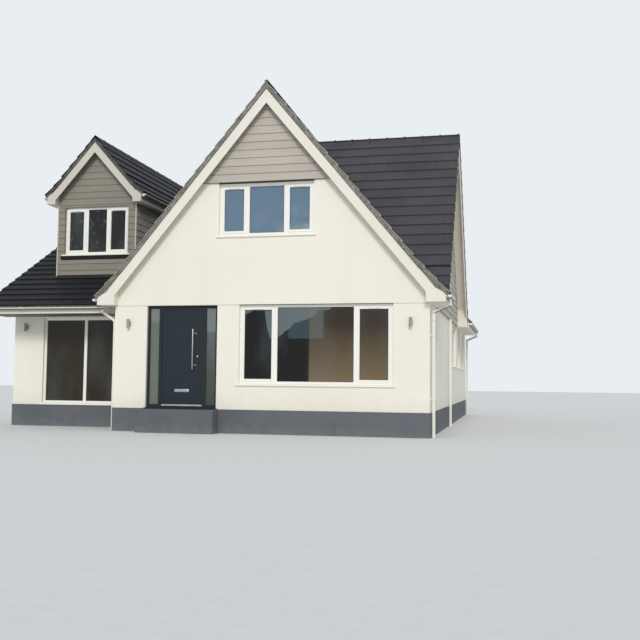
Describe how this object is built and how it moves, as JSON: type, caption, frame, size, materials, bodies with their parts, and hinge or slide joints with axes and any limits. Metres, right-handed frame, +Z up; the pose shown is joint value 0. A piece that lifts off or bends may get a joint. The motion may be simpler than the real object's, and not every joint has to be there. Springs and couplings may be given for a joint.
{
  "type": "detached house",
  "caption": "Detached gabled house with a steep tiled roof, side gable, lower wing with a gabled dormer, white render and a front door on a hinge.",
  "frame": {"origin": "left front corner of the body's walls, on the ground under the plinth", "axes": "+Z up, the front with the door faces -Y, +X to the right seen from the front"},
  "size_m": [10.492, 12.862, 7.285],
  "materials": {
    "render": "smooth painted render, matt",
    "plinth_paint": "dark grey masonry paint, matt",
    "floor_concrete": "floated concrete",
    "floor_boards": "boards on joists",
    "weatherboard": "grey cladding boards with a fine grain",
    "roof_tiles": "flat interlocking tiles, charcoal, matt",
    "ridge_tiles": "angled ridge tiles, charcoal, matt",
    "white_board": "white board, satin",
    "white_gutter": "white moulded plastic",
    "white_frame": "white extruded frame, satin",
    "dark_frame": "dark grey foiled frame, satin",
    "clear_glass": "clear double glazing",
    "obscured_glass": "obscured double glazing",
    "grey_metal": "powder coated grey",
    "door_skin": "dark grey moulded door skin with a faint grain",
    "steel": "satin stainless steel"
  },
  "bodies": {
    "house": {"plinth": "plinth_paint", "ground_floor": "floor_concrete", "first_floor": "floor_boards", "front_wall_left": "render", "front_wall_right": "render", "front_gable_wall": "render", "right_wall": "render", "right_gable_wall": "render", "left_wall": "render", "rear_wall": "render", "rear_gable_wall": "render", "gable_boards": "weatherboard", "wing_front_wall": "render", "wing_side_wall": "render", "wing_rear_wall": "render", "dormer_end_walls": "weatherboard", "dormer_cheeks": "weatherboard", "main_roof_left": "roof_tiles", "main_roof_right_front": "roof_tiles", "main_roof_right_rear": "roof_tiles", "side_roof_front": "roof_tiles", "side_roof_rear": "roof_tiles", "wing_roof_front": "roof_tiles", "wing_roof_rear": "roof_tiles", "dormer_roof_left": "roof_tiles", "dormer_roof_right": "roof_tiles", "ridge_tiles": "ridge_tiles", "main_bargeboards": "white_board", "wing_and_dormer_bargeboards": "white_board", "eaves_boards": "white_board", "gutters": "white_gutter", "downpipes": "white_gutter", "front_windows": "white_frame", "side_windows": "white_frame", "rear_windows": "white_frame", "wing_windows": "white_frame", "dormer_windows": "white_frame", "window_glass": "clear_glass", "window_sills": "white_frame", "door_frame": "dark_frame", "sidelight_glass": "obscured_glass", "door_step": "plinth_paint", "wall_lights": "grey_metal"},
    "front_door": {"door_leaf": "door_skin", "door_furniture": "steel"}
  },
  "joints": [
    {"name": "front_door_hinge", "type": "hinge", "parent": "house", "child": "front_door", "pos_m": [1.044, 0.14, 1.5675], "axis": [0, 0, 1], "range_deg": [0, 90]}
  ]
}
